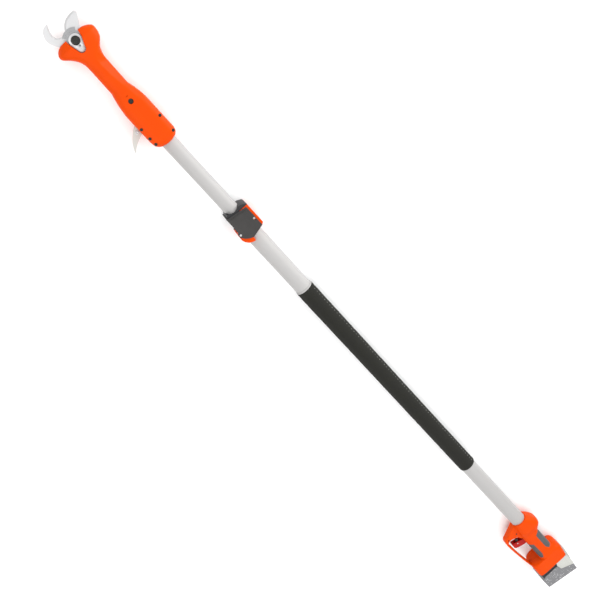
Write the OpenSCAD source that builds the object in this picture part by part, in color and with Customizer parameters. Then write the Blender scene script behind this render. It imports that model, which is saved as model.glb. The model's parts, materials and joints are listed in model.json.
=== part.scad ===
// Cordless pole pruner: a battery handle, a telescoping pole and a bypass shear head.
// The tool lies on its side. +X points to the blades, +Y to the trigger side, +Z is up.
// The origin is the middle of the underside. All sizes are in millimetres.

/* [Overall] */
// Length from the blade tips to the end of the battery, pole as set
overall_length = 1550; // [1500:1:1650]
// Reach of the hook blade ahead of the blade pivot
blade_reach = 46; // [45:1:48]
// Reach of the trigger guard from the pole axis
guard_reach = 56; // [56:1:60]
// Reach of the head's back lobe from the pole axis
back_reach = 37; // [37:1:40]
// Thickness of the battery, which the tool lies on
battery_height = 50; // [50:1:54]

/* [Pole] */
// Outside diameter of the lower tube
lower_od = 32; // [32:0.5:32]
// Outside diameter of the upper tube
upper_od = 27; // [26.5:0.5:27]
// Wall of both tubes
tube_wall = 1.5; // [1.2:0.1:1.5]
// Length of the foam grip
foam_length = 537; // [400:1:560]
// Thickness of the foam grip
foam_wall = 1.8; // [1.5:0.1:3]

/* [Blades] */
// Thickness of the cutting blade
blade_t = 3.5; // [3:0.1:3.5]
// Thickness of the fixed hook blade
hook_t = 4; // [3:0.1:4]
// Diameter of the blade hub
hub_d = 22; // [20:0.5:22]
// Diameter of the pivot bolt
bolt_d = 8; // [7:0.5:8]
// Diameter of the round pivot nut
nut_d = 14.8; // [14:0.1:15]

/* [Gearing] */
// Teeth of the bevel pinion
pinion_teeth = 12; // [12:1:12]
// Teeth that the blade's bevel sector would have as a full wheel
sector_teeth = 48; // [48:1:48]
// Pitch radius of the bevel sector at its outer edge
sector_r = 20; // [20:1:20]
// Module of the planetary gears
planet_module = 0.6; // [0.6:0.05:0.6]
// Teeth of the sun and of each planet
sun_teeth = 12; // [12:1:12]

/* [Fits] */
// Radial gap of a running fit
run_gap = 0.05; // [0.03:0.01:0.1]
// Gap between bodies that move past each other
move_gap = 0.3; // [0.3:0.05:0.5]

/* [Hidden] */

$fn = 64;
eps = 0.01;
full_turn = 360;

// Places of the three groups along the tool
pivot_x = overall_length / 2 - blade_reach;
rear_x = -overall_length / 2;
axis_y = (back_reach - guard_reach) / 2;
axis_z = battery_height / 2;
clamp_front = 367;              // clamp's front face behind the blade pivot
pole_x = pivot_x - rear_x;      // blade pivot ahead of the battery's end

// Gear values that several sub-parts share
pressure_angle = 25;
short_add = 0.75;               // addendum in modules, shortened so that tips stay clear
dedendum = 1;                   // dedendum in modules
backlash = 0.16;
bevel_ratio = sector_teeth / pinion_teeth;
pinion_r = sector_r / bevel_ratio;
bevel_module = 2 * sector_r / sector_teeth;
bevel_taper = 0.65;             // inner over outer cone distance
orbit_r = planet_module * sun_teeth;
ring_teeth = 3 * sun_teeth;
planet_bore = 2.5;

// Heights in the blade stack, above the pole axis
blade_z0 = 0.15;
blade_z1 = blade_z0 + blade_t;
gear_z1 = 8.8;
top_plate_z0 = 9.2;
top_plate_z1 = 11.6;
lock_z1 = 13.6;
low_plate_z0 = -hook_t - 4.2;

// Drive line along the head, measured from the blade pivot
block_x0 = -34;
block_x1 = -24;
ring_x0 = -58;
ring_x1 = -36;
motor_x0 = -110;
drive_od = 27;
planet_x0 = -48;
planet_x1 = -42;

module at_head() { translate([pivot_x, axis_y, axis_z]) children(); }
module at_clamp() { translate([pivot_x - clamp_front, axis_y, axis_z]) children(); }
module at_handle() { translate([rear_x, axis_y, axis_z]) children(); }

// A round bar or bore along X, from x0 to x1
module bar_x(d, x0, x1) {
    translate([x0, 0, 0])
        rotate([0, 90, 0])
            cylinder(d = d, h = x1 - x0);
}

// A tube along X
module tube_x(od, id, x0, x1) {
    difference() {
        bar_x(od, x0, x1);
        bar_x(id, x0 - 1, x1 + 1);
    }
}

// A block between two corners
module block(a, b) { translate(a) cube(b - a); }

// A flat shape between two heights
module slab(z0, z1) { translate([0, 0, z0]) linear_extrude(z1 - z0) children(); }

// A side profile in X and Z, as wide as y0 to y1
module side_slab(y0, y1) {
    translate([0, y1, 0])
        rotate([90, 0, 0])
            linear_extrude(y1 - y0)
                children();
}

// A round post along Z
module post(p, d, z0, z1) { translate([p[0], p[1], z0]) cylinder(d = d, h = z1 - z0); }

// Points of a curve from a to c that leaves and arrives towards b
function curve(a, b, c, n = 8) =
    [for (i = [0:n]) let (t = i / n) (1 - t) * (1 - t) * a + 2 * t * (1 - t) * b + t * t * c];

// Outline of an involute gear: half tooth angle, flank points and the whole wheel
function roll_angle(rb, r) = sqrt(max(0, (r / rb) * (r / rb) - 1)) * 180 / PI;
function inv_angle(rb, r) = let (a = roll_angle(rb, r)) a - atan(a * PI / 180);
function gear_outline(teeth, module_size, slack, add, ded, steps = 4) =
    let (rp = module_size * teeth / 2,
        rb = rp * cos(pressure_angle),
        ra = rp + add * module_size,
        rf = rp - ded * module_size,
        r0 = max(rb, rf),
        half = 90 / teeth - slack / 2 / rp * 180 / PI + inv_angle(rb, rp),
        rs = [for (i = [0:steps]) r0 + (ra - r0) * i / steps],
        flank = [for (r = rs) [r, half - inv_angle(rb, r)]],
        side = concat([[rf, half]], flank))
    [for (k = [0:teeth - 1], i = [0:2 * len(side) - 1])
        let (up = i < len(side),
            p = up ? side[i] : side[2 * len(side) - 1 - i],
            a = k * full_turn / teeth + (up ? -p[1] : p[1]))
        p[0] * [cos(a), sin(a)]];

// ---- Head: outlines seen from above, X and Y from the blade pivot ----
head_rear = -212.5;
socket_rear = -210;
socket_front = -163;

function lobe_outline() = concat(
    [[10.5, -12]],
    curve([10.7, -17], [8, -29], [1, -36]),
    curve([-2, -back_reach], [-16, -back_reach], [-22, -31]),
    curve([-25, -28], [-33, -17.5], [-52, -16.8]),
    [[-96, -16.2]],
    curve([-100, -16.4], [-120, -22.4], [-138, -23]),
    [[-196, -23]],
    curve([-200, -23], [head_rear, -21], [head_rear, -8]),
    curve([head_rear, 6], [head_rear, 17], [-203, 22.5]),
    [[-194, 24.2], [-142, 24.2]],
    curve([-134, 23.8], [-112, 21.5], [-97, 16.4]),
    [[-50, 15.6]],
    curve([-40, 15.8], [-26, 17], [-14, 31]),
    curve([-11, 34.6], [-8, 39], [-3, 38], 4),
    curve([0, 37.3], [10, 30], [9, 20]),
    [[8, 9.5]]);

// Half height of the head along X
function head_profile() = [[12, 0], [12, 12], [3, 21], [-24, 21], [-52, 17], [-96, 17],
    [-138, axis_z - 1], [-150, axis_z], [-197, axis_z], [head_rear, 15], [head_rear, 0]];

shell_screw_at = [[-170, -18.5], [-202, -18.2], [-167, 20], [-187, 20], [-200, 19]];
body_screw_at = [-123, 1];
hook_screw_at = [-168, 29];

// Outline of the lock plate: a round end at the pivot and a small one at its screw
function arc(p, r, from, to, n = 24) =
    [for (i = [0:n]) let (a = from + (to - from) * i / n) p + r * [cos(a), sin(a)]];

module lock_shape(grow) {
    polygon(concat(arc([0, 0], 11 + grow, -116, 104), arc([-14.5, 1.5], 6 + grow, 104, 244)));
}

// Room for the blades, the gears, the motor and the cable inside the head
module head_room() {
    slab(low_plate_z0 - 0.2, top_plate_z1 + 0.2) polygon([[20, -14], [-37, -14], [-37, 14], [20, 14]]);
    intersection() {
        slab(-hook_t - 0.3, top_plate_z0) circle(r = 22.6);
        slab(-hook_t - 0.3, top_plate_z0) translate([-30, -24]) square([42, 48]);
    }
    slab(-hook_t - 0.3, blade_z1 + 0.6) polygon([[-13, -19], [20, -26], [20, 31], [-13, 26]]);
    bar_x(drive_od + 0.4, motor_x0 - 4, -30);
    bar_x(40, -161, motor_x0 - 3);
    slab(top_plate_z1, 30) lock_shape(0.8);
    slab(top_plate_z1, 30) polygon([[0, -11.8], [20, -16], [20, 13], [0, 11.8]]);
    slab(-30, low_plate_z0) circle(r = 10.5);
    slab(-30, low_plate_z0) polygon([[0, -10.5], [20, -12], [20, 12], [0, 10.5]]);
}

// One half of the head casing; side is 1 above the pole axis and -1 below it
module head_half(side) {
    difference() {
        intersection() {
            slab(side > 0 ? 0 : -30, side > 0 ? 30 : 0) polygon(lobe_outline());
            side_slab(-50, 50)
                polygon([for (p = head_profile()) [p[0], side * p[1]]]);
        }
        head_room();
        bar_x(upper_od + 6, socket_rear, socket_front + 3);
        bar_x(upper_od + move_gap, head_rear - 1, socket_rear + 1);
        for (p = shell_screw_at) {
            post(p, 2.8, -14, 30);
            post(p, 5.6, 19, 30);
        }
        post(body_screw_at, 3.2, -30, 30);
        post(body_screw_at, 9, 17, 30);
    }
}

module head_shell_top() { color("orangered") at_head() head_half(1); }

module head_shell_bottom() {
    color("orangered")
        at_head() {
            head_half(-1);
            // Ear that carries the branch hook
            difference() {
                slab(-6, -2) polygon([[-176, 23.9], [-174, 33], [-162, 33], [-159, 23.9]]);
                post(hook_screw_at, 3.2, -10, 10);
            }
        }
}

// Frame that holds the blades and the gear train together
module head_case() {
    color("dimgray")
        at_head()
            difference() {
                union() {
                    slab(low_plate_z0, -hook_t) {
                        circle(d = hub_d + 2);
                        translate([block_x0, -12]) square([34, 24]);
                    }
                    slab(top_plate_z0, top_plate_z1) {
                        circle(d = hub_d + 1);
                        translate([block_x0, -11]) square([34, 22]);
                    }
                    intersection() {
                        bar_x(drive_od, block_x0 - 2, block_x1);
                        block([block_x0 - 2, -14, low_plate_z0], [block_x1, 14, top_plate_z1]);
                    }
                    bar_x(drive_od, block_x0 - 2, block_x0);
                }
                post([0, 0], bolt_d + 2 * run_gap, -20, 20);
                block([block_x1 - eps, -7.2, low_plate_z0 - 1], [-11.6, 7.2, 0]);
                bar_x(13, block_x0 - 3, block_x1 + 1);
                post([-14.5, 1.5], 3, 0, 20);
            }
}

module hook_blade() {
    tip = [blade_reach, 15.5];
    outer = concat(curve([blade_reach - 0.6, 21], [44, 30.5], [32, 34.4]),
        curve([32, 34.4], [22, 37], [4, 23.5]));
    inner = concat(curve([18.5, -1], [15, 11.5], [21.2, 19.7]), curve([21.2, 19.7], [29, 26], tip));
    color("silver")
        at_head()
            difference() {
                slab(-hook_t, 0) {
                    difference() {
                        circle(r = 12);
                        translate([-20, -20]) square([8.4, 40]);
                    }
                    polygon(concat(outer, [[-10, 18], [-10, 6], [0, -11], [14, -7]], inner));
                }
                post([0, 0], bolt_d + 2 * run_gap, -20, 20);
                post([-4, 17], 4, -20, 20);
            }
}

module cutting_blade() {
    edge = concat(curve([7, 8], [35, 1.5], [34.8, -24.8], 12),
        curve([34.6, -27.5], [34.3, -31.6], [29.7, -31.2], 5));
    spine = curve([29.7, -31.2], [20, -26.5], [-2, -10.5], 12);
    color("silver")
        at_head()
            difference() {
                slab(blade_z0, blade_z1)
                    polygon(concat(edge, spine, arc([0, 0], hub_d / 2, 262, 48)));
                post([0, 0], bolt_d + 2 * run_gap, -20, 20);
            }
}

// Step of the blade root: a ring sector out to radius r, up to height z1
module hub_step(r, half_angle, z1) {
    rotate([0, 0, -half_angle])
        rotate_extrude(angle = 2 * half_angle)
            translate([hub_d / 2 - 1, blade_z1])
                square([r - hub_d / 2 + 1, z1 - blade_z1]);
}

// Bevel sector fixed on the blade. Its teeth point down at the pinion, and every line
// of a tooth runs to the point where the blade axis crosses the pole axis.
module blade_gear() {
    tooth_step = full_turn / sector_teeth;
    cone_len = norm([sector_r, pinion_r]);
    cone_angle = atan(pinion_r / sector_r);
    half_tooth = PI * bevel_module / 4 - backlash / 2;
    lean = tan(pressure_angle);
    tip = short_add * bevel_module;
    root = 1.05 * bevel_module;
    color("gray")
        at_head() {
            difference() {
                union() {
                    post([0, 0], hub_d, blade_z1, gear_z1);
                    // Stepped root of the blade ahead of the hub
                    hub_step(15.2, 75, gear_z1 - 0.3);
                    hub_step(20.6, 41, blade_z1 + 2.2);
                    rotate([0, 0, 109])
                        rotate_extrude(angle = 82)
                            polygon([[10, 4], [12.6, 3.9], [sector_r + 0.5, 6], [sector_r + 0.5, gear_z1],
                                [10, gear_z1]]);
                }
                post([0, 0], bolt_d + 2 * run_gap, -20, 20);
            }
            for (k = [-9:1])
                rotate([0, 0, full_turn / 2 + k * tooth_step])
                    rotate([0, 90 - cone_angle, 0])
                        translate([0, 0, cone_len])
                            rotate([180, 0, 0])
                                linear_extrude(cone_len * (1 - bevel_taper), scale = bevel_taper)
                                    polygon([[tip, -half_tooth + tip * lean],
                                        [tip, half_tooth - tip * lean],
                                        [-root, half_tooth + root * lean],
                                        [-root, -half_tooth - root * lean]]);
        }
}

module pivot_bolt() {
    color("dimgray")
        at_head()
            difference() {
                union() {
                    post([0, 0], bolt_d, low_plate_z0 - 1, 18);
                    post([0, 0], 16, low_plate_z0 - 5.5, low_plate_z0);
                }
                translate([0, 0, low_plate_z0 - 6]) cylinder(d = 9, h = 3.5, $fn = 6);
            }
}

module pivot_nut() {
    color("dimgray")
        at_head()
            difference() {
                union() {
                    post([0, 0], nut_d, lock_z1, 18.4);
                    translate([0, 0, 18.4]) cylinder(d1 = nut_d, d2 = nut_d - 1.6, h = 0.8);
                }
                post([0, 0], bolt_d, 0, 18);
                translate([0, 0, 15.6]) cylinder(d = 9, h = 6, $fn = 6);
            }
}

module lock_plate() {
    color("silver")
        at_head()
            difference() {
                slab(top_plate_z1, lock_z1) lock_shape(0);
                post([0, 0], bolt_d, 0, 20);
                post([-9.6, 0.2], 3, 0, 20);
                post([-14.5, 1.5], 3, 0, 20);
            }
}

module lock_screw() {
    color("lightgray")
        at_head()
            difference() {
                union() {
                    post([-14.5, 1.5], 3, top_plate_z0, lock_z1);
                    post([-14.5, 1.5], 6, lock_z1, lock_z1 + 1.8);
                }
                translate([-14.5, 1.5, lock_z1 + 0.6]) cylinder(d = 2.8, h = 2, $fn = 6);
            }
}

// Thin washers between the gear and the top plate
module blade_washers() {
    color("goldenrod")
        at_head()
            difference() {
                post([0, 0], 18, gear_z1 + 0.1, top_plate_z0);
                post([0, 0], bolt_d + 2 * run_gap, 0, 20);
            }
}

// ---- Drive line ----
module pinion_carrier() {
    color("gray")
        at_head() {
            translate([-sector_r, 0, 0])
                rotate([0, 90, 0])
                    linear_extrude(sector_r * (1 - bevel_taper), scale = bevel_taper)
                        rotate([0, 0, full_turn / 2 / pinion_teeth])
                            polygon(gear_outline(pinion_teeth, bevel_module, backlash,
                                short_add, dedendum));
            bar_x(6, -38, -sector_r);
            difference() {
                bar_x(19, -41, -38);
                for (k = [0:2])
                    rotate([k * 120, 0, 0])
                        translate([0, 0, orbit_r])
                            bar_x(planet_bore, -42, -37);
            }
        }
}

module planet_pins() {
    color("silver")
        at_head()
            for (k = [0:2])
                rotate([k * 120, 0, 0])
                    translate([0, 0, orbit_r])
                        bar_x(planet_bore, planet_x0 - 0.6, -38);
}

// The sun and the planets have the same teeth
function sun_outline() = gear_outline(sun_teeth, planet_module, backlash, short_add, dedendum);

// Planet number k; it turns on its pin in the carrier
module planet_gear(k) {
    color("goldenrod")
        at_head()
            rotate([k * 120, 0, 0])
                translate([planet_x0, 0, orbit_r])
                    rotate([0, 90, 0])
                        linear_extrude(planet_x1 - planet_x0)
                            difference() {
                                rotate([0, 0, full_turn / 2 / sun_teeth]) polygon(sun_outline());
                                circle(d = planet_bore + 2 * run_gap);
                            }
}

module planet_gear_1() { planet_gear(0); }
module planet_gear_2() { planet_gear(1); }
module planet_gear_3() { planet_gear(2); }

module pinion_bearings() {
    color("silver")
        at_head() {
            tube_x(13, 6 + 2 * run_gap, block_x0 - 1, block_x0 + 3);
            tube_x(13, 6 + 2 * run_gap, block_x1 - 4, block_x1);
        }
}

module ring_gear() {
    color("gray")
        at_head()
            difference() {
                bar_x(drive_od, ring_x0, ring_x1);
                translate([ring_x0 - 1, 0, 0])
                    rotate([0, 90, 0])
                        linear_extrude(ring_x1 - ring_x0 + 2)
                            rotate([0, 0, full_turn / 2 / ring_teeth])
                            polygon(gear_outline(ring_teeth, planet_module, -backlash,
                                dedendum, short_add));
            }
}

module motor_rotor() {
    color("gray")
        at_head() {
            translate([planet_x0 - 1, 0, 0])
                rotate([0, 90, 0])
                    linear_extrude(planet_x1 - planet_x0 + 1)
                        polygon(sun_outline());
            bar_x(3, motor_x0 + 1, planet_x0 - 1);
            bar_x(12, -98, -68);
        }
}

module rotor_bearings() {
    color("silver")
        at_head() {
            tube_x(9, 3 + 2 * run_gap, ring_x0 - 3, ring_x0);
            tube_x(9, 3 + 2 * run_gap, motor_x0 + 1, motor_x0 + 4);
        }
}

module motor_stator() { color("peru") at_head() tube_x(drive_od - 2.4, 13, -98, -68); }

module motor_can() {
    color("darkgray")
        at_head()
            difference() {
                bar_x(drive_od, motor_x0, ring_x0);
                bar_x(drive_od - 2.4, motor_x0 - 1, ring_x0 - 3);
                bar_x(9, -70, ring_x0 + 1);
            }
}

module motor_end_cap() {
    color("black")
        at_head()
            difference() {
                bar_x(drive_od - 2.4, motor_x0, motor_x0 + 5);
                bar_x(9, motor_x0 + 1, motor_x0 + 6);
                bar_x(4, motor_x0 - 1, motor_x0 + 2);
            }
}

// ---- Head fastenings, branch hook and pole socket ----
module screw(p, d, head_d, z0, z1, head_h, socket_d) {
    difference() {
        union() {
            post(p, d, z0, z1);
            post(p, head_d, z1, z1 + head_h);
        }
        translate([p[0], p[1], z1 + head_h - 1.2]) cylinder(d = socket_d, h = 2, $fn = 6);
    }
}

module shell_screws() {
    color("dimgray") at_head() for (p = shell_screw_at) screw(p, 2.8, 5.4, -14, 19, 2.4, 2.6);
}

module body_screw() { color("dimgray") at_head() screw(body_screw_at, 3.2, 8.6, -19, 17, 2.6, 4); }

module tube_socket() {
    color("darkgray") at_head() tube_x(upper_od + 6, upper_od, socket_rear, socket_front);
}

module branch_hook() {
    color("lightgray")
        at_head()
            difference() {
                slab(-2, 1)
                    polygon(concat([[-157, 24.5], [-160, 30]],
                        curve([-164, 35], [-176, 50], [-192, 55], 6),
                        curve([-190, 52], [-181, 44], [-175, 24.5], 6)));
                post(hook_screw_at, 3.2, -10, 10);
            }
}

module hook_screw() { color("dimgray") at_head() screw(hook_screw_at, 3.2, 6, -5.5, 1, 2, 2.6); }

module upper_tube() { color("silver") at_head() tube_x(upper_od, upper_od - 2 * tube_wall, -1040, -172); }

// Guide at the tail of the upper tube, running in the lower tube
module guide_bush() {
    color("black")
        at_head() {
            tube_x(lower_od - 2 * tube_wall - 0.16, upper_od, -1040, -1012);
            tube_x(lower_od - 2 * tube_wall - 0.16, 10, -1046, -1040);
        }
}

// Power cable in the upper tube, with two leads that pass the body screw
module straight_cable() {
    color("black")
        at_head() {
            bar_x(6, -1040, -130);
            block([-131, -8, -2.5], [-128, 9, 2.5]);
            for (y = [-6, 7])
                translate([0, y, 0])
                    bar_x(2, -128, motor_x0);
        }
}

// Outer shape of the coiled cable that feeds the head as the pole slides
module coiled_cable() { color("black") at_head() tube_x(22, 10, -1290, -1046); }

// ---- Clamp that locks the pole: X from its front face ----
lever_pivot = [-45, 19];
clamp_pin_at = [-39, -18.6];
clamp_half = 21.5;
cheek_z0 = clamp_half + move_gap + 0.2;
cam_r = 2.65;
cam_shift = 0.3;
pad_top = lever_pivot[1] - cam_shift - cam_r - run_gap;
pad_x0 = -54;
pad_x1 = -33;

module clamp_collar() {
    color("black")
        at_clamp()
            difference() {
                slab(-clamp_half, clamp_half)
                    difference() {
                        polygon([[-12, -26], [-9.5, -25], [-5, -16], [-5, 12], [-2, 13], [-7, 16],
                            [-12, 16]]);
                        translate([8.5, -1]) circle(r = 17.5);
                    }
                bar_x(upper_od + 2 * run_gap, -20, 10);
            }
}

// Body of the clamp, open on the lever side where the pressure pad sits
module clamp_body() {
    color("orangered")
        at_clamp()
            difference() {
                union() {
                    slab(-clamp_half, clamp_half)
                        polygon([[-58, -21], [-55, -26], [-12, -26], [-12, 14], [-58, 14]]);
                    slab(-clamp_half, clamp_half) {
                        translate(lever_pivot) circle(r = 4);
                        polygon(concat([[-57, 8], [-61, 4], [-71, 5]],
                            curve([-71, 5], [-69, 20], [-54, 23.5]), [[-49, 23], [-46, 20], [-42, 14]]));
                    }
                }
                bar_x(lower_od, -80, -12 + eps);
                post(lever_pivot, 4, -30, 30);
                post(clamp_pin_at, 4, -30, 30);
                block([-56, 13, -7.2], [-24, 30, 7.2]);
            }
}

module cheek_outline() {
    polygon(concat([[-14, -21.6], [-57, -21.6], [-63, 3]], curve([-63, 3], [-60, 14], [-52, 19]),
        [[-48, 22.4], [-42, 22.4], [-38, 19], [-7.5, 19], [-8.5, 14]]));
}

// Lever with two cheeks, a web between them and a cam on its pivot
module clamp_lever() {
    color("dimgray")
        at_clamp()
            difference() {
                union() {
                    for (side = [0, 1])
                        mirror([0, 0, side])
                            slab(cheek_z0, axis_z) cheek_outline();
                    block([-37, 16.8, -axis_z], [-7.5, 19, axis_z]);
                    block([-46, 18, -6.8], [-36, 20.4, 6.8]);
                    post(lever_pivot - [0, cam_shift], 2 * cam_r, -6.8, 6.8);
                }
                post(lever_pivot, 4 + 2 * run_gap, -30, 30);
                post(clamp_pin_at, 5.4, -30, 30);
            }
}

module lever_pin() { color("silver") at_clamp() post(lever_pivot, 4, -24.4, 24.4); }

module clamp_pin() { color("silver") at_clamp() post(clamp_pin_at, 4, -21.8, 21.8); }

// Pad that the cam presses against the upper tube
module pressure_pad() {
    color("black")
        at_clamp()
            difference() {
                block([pad_x0, 11.9, -6.4], [pad_x1, pad_top, 6.4]);
                bar_x(upper_od + 2 * run_gap, -70, 0);
            }
}

// ---- Lower tube and foam: X from the battery's end ----
tube_end = 158;
tube_front = pole_x - clamp_front - 15;
foam_x0 = 392;

module lower_tube() {
    pad_x = pole_x - clamp_front;
    color("silver")
        at_handle()
            difference() {
                tube_x(lower_od, lower_od - 2 * tube_wall, tube_end, tube_front);
                block([pad_x + pad_x0 - move_gap, 0, -6.8], [pad_x + pad_x1 + move_gap, 20, 6.8]);
            }
}

module foam_grip() {
    color("#3c3c37")
        at_handle()
            tube_x(lower_od + 2 * foam_wall, lower_od, foam_x0, foam_x0 + foam_length);
}

module foam_ring() {
    color("silver")
        at_handle()
            tube_x(lower_od + 2.4, lower_od, foam_x0 + foam_length, foam_x0 + foam_length + 3);
}

// ---- Handle: outlines seen from above, X from the battery's end ----
trigger_pivot = [140, 12];
catch_pivot = [148, 36];
handle_screw_at = [[168, -24, 17], [173, 24, 5], [151, -18.5, 13], [90, -1, 13], [173, 46.5, 5]];
bay_low = [45, -24.4, -22.1];
bay_high = [77, 43.6, 22.1];
guard_half = 9;
grip_half = 17;
collar_half = 22;
insert_t = 2.2;

handle_front = 194;

function grip_outline() = concat([[handle_front, -17.5], [183, -26.4]],
    curve([172, -31.5], [163, -33.5], [157, -28.6], 4),
    curve([147, -20], [143, -17.6], [138, -17.4], 4),
    [[93, -17.4]],
    curve([90, -18], [88, -30], [76, -30.4]),
    [[50, -27], [50, 48], [74, 48]],
    curve([78, 48], [81, 46], [81, 40], 4),
    [[81, 21], [150, 21], [handle_front, 17]]);

function guard_outline() = concat([[handle_front, 16]],
    curve([176, 50], [173, guard_reach], [164, guard_reach], 6),
    [[158, guard_reach]],
    curve([154, guard_reach], [112, 53.5], [76, 48], 6),
    [[76, 40], [81, 45]],
    curve([83, 46], [125, 51], [157, 51.6], 6),
    curve([163, 51.8], [170, 51], [169, 40], 4),
    [[163, 27], [153, 22], [147, 16]]);

// Height of the handle along X
function handle_profile() = [[handle_front, 0], [handle_front, 19], [170, collar_half],
    [164, collar_half], [152, grip_half], [94, grip_half], [82, axis_z], [50, axis_z], [50, 0]];

module back_insert_shape() { polygon([[147, -19], [140, -4.8], [99, -4.4], [92, -9], [93.5, -19]]); }

module front_insert_shape() { polygon([[132, 23], [125, 11.8], [92, 11], [85.5, 14.5], [85, 23]]); }

// Outside of the handle between two heights, without the guard
module grip_form(side) {
    intersection() {
        slab(side > 0 ? 0 : -30, side > 0 ? 30 : 0) polygon(grip_outline());
        side_slab(-40, 60)
            polygon([for (p = handle_profile()) [p[0], side * p[1]]]);
    }
}

module handle_half(side) {
    difference() {
        union() {
            grip_form(side);
            slab(side > 0 ? 0 : -guard_half, side > 0 ? guard_half : 0) polygon(guard_outline());
        }
        bar_x(lower_od, tube_end, 210);
        block([98, -12, -13.4], [tube_end + eps, 16.4, 13.4]);
        block([83, 3, -6], [99, 10, 6]);
        block([128, 10, -6.5], [tube_end, 24, 6.5]);
        block(bay_low, bay_high);
        block([76, -10.2, -8.2], [83.2, 14.2, 8.2]);
        post(trigger_pivot, 4, -14.6, 14.6);
        // Seats of the soft inserts
        for (s = [-1, 1])
            slab(s > 0 ? grip_half - insert_t : -30, s > 0 ? 30 : insert_t - grip_half) {
                back_insert_shape();
                front_insert_shape();
            }
        slab(-30, 30)
            intersection() {
                back_insert_shape();
                translate([80, -40]) square([90, 40 - 17.4 + insert_t]);
            }
        slab(-30, 30)
            intersection() {
                front_insert_shape();
                translate([80, 21 - insert_t]) square([90, 10]);
            }
        for (p = handle_screw_at) {
            post(p, 2.8, -30, 10);
            post(p, 5.6, -30, -p[2]);
        }
    }
}

module handle_shell_top() { color("orangered") at_handle() handle_half(1); }

module handle_shell_bottom() { color("orangered") at_handle() handle_half(-1); }

// Soft insert wrapped round one edge of the grip, from y0 to y1
module soft_insert(y0, y1) {
    difference() {
        intersection() {
            union() {
                grip_form(1);
                grip_form(-1);
            }
            slab(-grip_half, grip_half) children();
        }
        block([80, y0, insert_t - grip_half], [170, y1, grip_half - insert_t]);
    }
}

module grip_insert_back() {
    color("gray") at_handle() soft_insert(insert_t - 17.4, 0) back_insert_shape();
}

module grip_insert_front() {
    color("gray") at_handle() soft_insert(0, 21 - insert_t) front_insert_shape();
}

module trigger() {
    color("firebrick")
        at_handle()
            difference() {
                slab(-6, 6)
                    polygon(concat([[135, 4], [146, 4], [147, 12], [147.5, 21]],
                        curve([151, 32], [153, 39], [155, 45], 4),
                        [[153.5, 47.6], [144, 47.6]],
                        curve([141, 45], [136, 36], [134, 21], 6),
                        [[133, 14]]));
                post(trigger_pivot, 4 + 2 * run_gap, -10, 10);
                // Slot for the safety catch
                slab(-3.3, 3.3) polygon([[143, 31], [162, 20], [162, 41], [143, 41]]);
                post(catch_pivot, 2.5, -10, 10);
            }
}

module trigger_pin() { color("silver") at_handle() post(trigger_pivot, 4, -14.6, 14.6); }

module trigger_spring() {
    wire = 0.8;
    color("silver")
        at_handle()
            for (k = [0:3])
                translate([trigger_pivot[0], trigger_pivot[1], 7 + 0.7 * k])
                    rotate_extrude()
                        translate([3.2, 0])
                            circle(d = wire, $fn = 16);
}

module safety_catch() {
    color("dimgray")
        at_handle()
            difference() {
                slab(-2.9, 2.9) {
                    translate(catch_pivot) circle(d = 5.4);
                    translate([155, 31.8]) circle(d = 4);
                    polygon([[147, 33.5], [154.2, 29.9], [155.8, 33.6], [149, 38.5]]);
                }
                post(catch_pivot, 2.5 + 2 * run_gap, -10, 10);
            }
}

module safety_pin() { color("silver") at_handle() post(catch_pivot, 2.5, -6, 6); }

module micro_switch() {
    color("black")
        at_handle() {
            block([150, -1, -3.2], [157.6, 8, 3.2]);
            translate([0, 5, 0]) bar_x(2, 147.5, 150);
        }
}

module control_board() {
    color("green")
        at_handle() {
            block([102, -11.6, -11], [152, -10, 11]);
            for (x = [106, 118, 130])
                block([x, -10, -7], [x + 7, -8, -1]);
            translate([143, -10, 4]) rotate([-90, 0, 0]) cylinder(d = 8, h = 6);
        }
}

module handle_screws() {
    color("dimgray")
        at_handle()
            mirror([0, 0, 1])
                for (p = handle_screw_at)
                    screw(p, 2.8, 5.4, -10, p[2], 2.4, 2.6);
}

contact_y = [-6, 2, 10];

// Block in the handle that carries the blades of the battery plug
module terminal_block() {
    color("black")
        at_handle() {
            block([77, -10, -8], [83, 14, 8]);
            for (y = contact_y)
                block([72.4, y - 0.5, -3], [77, y + 0.5, 3]);
        }
}

// ---- Battery: X from its own end ----
case_low = [13, -24.1, -21.8];
case_high = [75, 43.3, 21.8];
cell_d = 18.3;
cell_pitch = 18.8;
cell_len = 65;

module battery_case() {
    color("black")
        at_handle()
            difference() {
                block(case_low, case_high);
                block([14.6, -22.6, -19.4], [72, 42.8, 19.4]);
                for (y = contact_y)
                    block([71.5, y - 1, -4], [76, y + 1, 4]);
            }
}

module battery_cap() {
    color("darkgray")
        at_handle()
            difference() {
                slab(-axis_z, axis_z)
                    polygon([[0, -24], [16, -25], [29, 3], [42, 6], [41.6, 42], [35, 51], [12, 51]]);
                block(case_low, case_high);
                block([15, 45.4, -9.3], [27, 60, 9.3]);
            }
}

module battery_panel() {
    color("whitesmoke")
        at_handle() {
            // Strip that runs forward along the outside of the handle
            slab(-13, 13)
                polygon([[21, -26], [49.6, -26], [49.9, -27.4], [68, -29.8], [68, -31.4],
                    [60, -31.6], [30, -28.8], [21, -27.2]]);
            difference() {
                slab(0.6 - axis_z, axis_z - 0.6)
                    polygon([[49.6, -26.6], [21, -26.6], [16.3, -25], [29.3, 2.9],
                        [42.3, 5.9], [49.6, 3.5]]);
                block(case_low, case_high);
            }
        }
}

module battery_seal() {
    color("black")
        at_handle()
            difference() {
                slab(2 - axis_z, axis_z - 2)
                    polygon([[42.3, 6.2], [49.6, 3.8], [49.6, 46], [38.8, 46], [42, 42]]);
                block(case_low, case_high);
            }
}

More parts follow.
